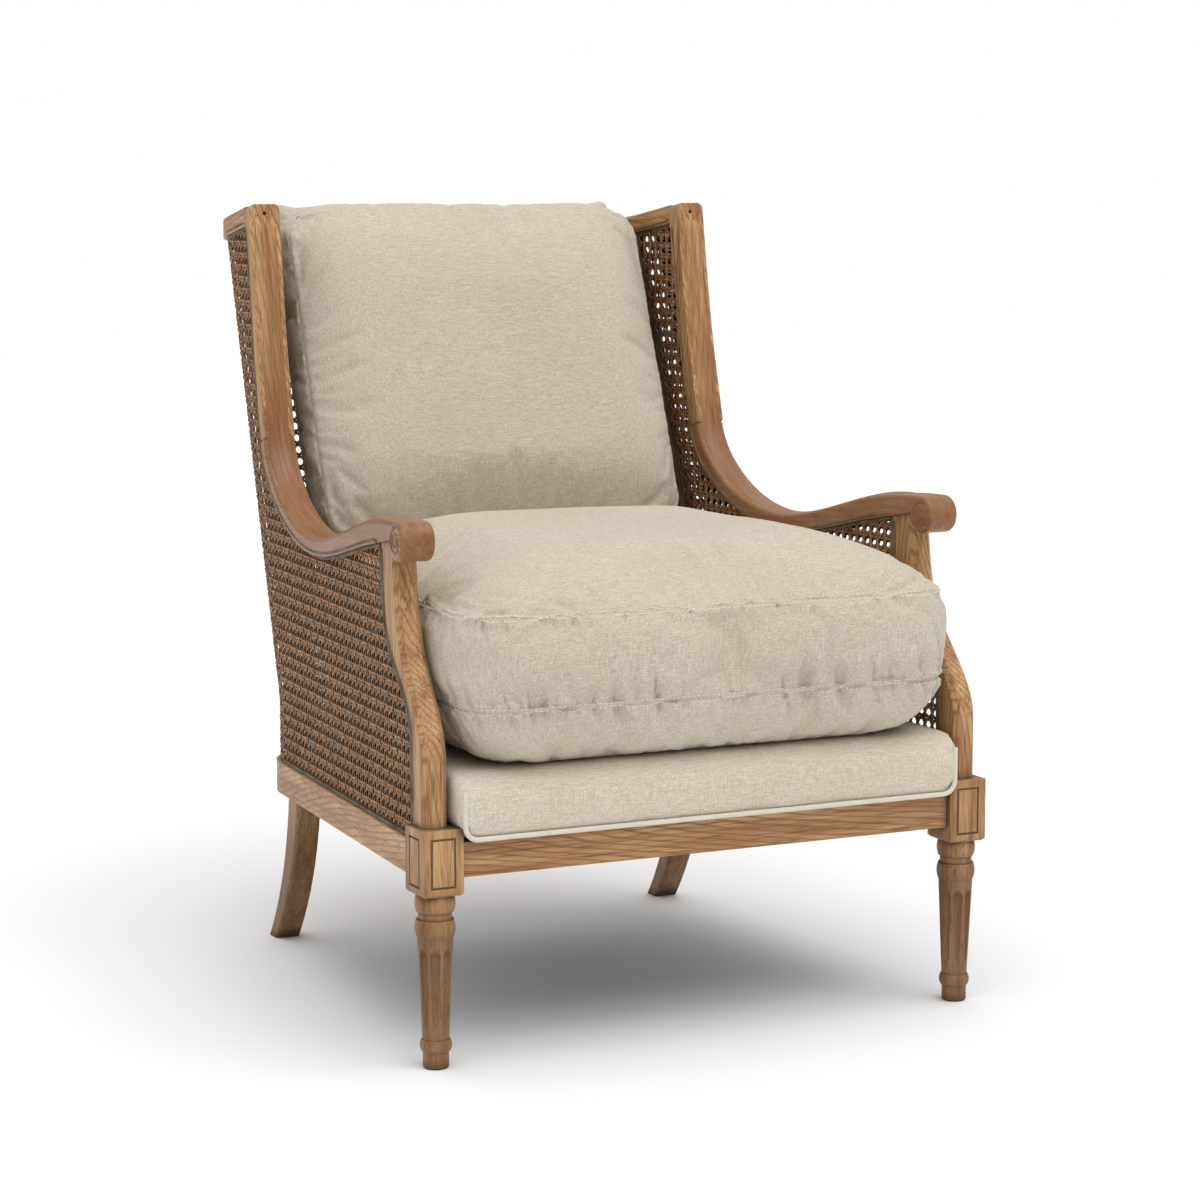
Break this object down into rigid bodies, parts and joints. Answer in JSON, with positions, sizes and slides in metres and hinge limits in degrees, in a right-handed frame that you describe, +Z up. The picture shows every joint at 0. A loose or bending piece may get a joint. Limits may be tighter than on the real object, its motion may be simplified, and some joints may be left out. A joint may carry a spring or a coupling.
{
  "type": "wing armchair with cane sides",
  "caption": "Wing armchair with an oak frame, turned front legs, sabre rear legs, scrolled arms, cane sides and back, and loose seat and back cushions.",
  "frame": {"origin": "on the floor, under the middle of the chair", "axes": "+Z up, the chair faces -Y, +X is its right side as seen from the front"},
  "size_m": [0.744, 0.9059, 0.975],
  "materials": {
    "frame_wood": "satin",
    "plain_wood": "matte",
    "cane": "satin",
    "linen": "matte",
    "deck_linen": "matte",
    "piping": "matte",
    "webbing": "matte",
    "dust_cover": "matte"
  },
  "bodies": {
    "frame": {"arm_loose_tenons": "plain_wood", "arm_post_left": "frame_wood", "arm_post_right": "frame_wood", "armrest_left": "frame_wood", "armrest_right": "frame_wood", "back_cane": "cane", "back_post_left": "frame_wood", "back_post_right": "frame_wood", "corner_block_left": "plain_wood", "corner_block_right": "plain_wood", "crest_dowels": "plain_wood", "crest_rail": "frame_wood", "deck_pad": "deck_linen", "deck_piping": "piping", "dust_cover": "dust_cover", "front_leg_left": "frame_wood", "front_leg_right": "frame_wood", "front_seat_rail": "frame_wood", "inner_cane_left": "cane", "inner_cane_right": "cane", "outer_cane_left": "cane", "outer_cane_right": "cane", "rail_dowels": "plain_wood", "rear_corner_rail_left": "frame_wood", "rear_corner_rail_right": "frame_wood", "rear_leg_left": "frame_wood", "rear_leg_right": "frame_wood", "rear_seat_rail": "frame_wood", "side_seat_rail_left": "frame_wood", "side_seat_rail_right": "frame_wood", "webbing_crosswise": "webbing", "webbing_lengthwise": "webbing", "wing_pegs": "plain_wood", "wing_stile_left": "frame_wood", "wing_stile_right": "frame_wood", "wing_top_rail_left": "frame_wood", "wing_top_rail_right": "frame_wood"},
    "seat_cushion_body": {"seat_cushion": "linen"},
    "back_cushion_body": {"back_cushion": "linen"}
  },
  "joints": [
    {"name": "seat_cushion_slide", "type": "slide", "parent": "frame", "child": "seat_cushion_body", "axis": [0, -0.9986, 0.0523], "range_m": [0, 0.7]},
    {"name": "back_cushion_lift", "type": "slide", "parent": "frame", "child": "back_cushion_body", "axis": [0, 0.3156, 0.9489], "range_m": [0, 0.55]}
  ]
}
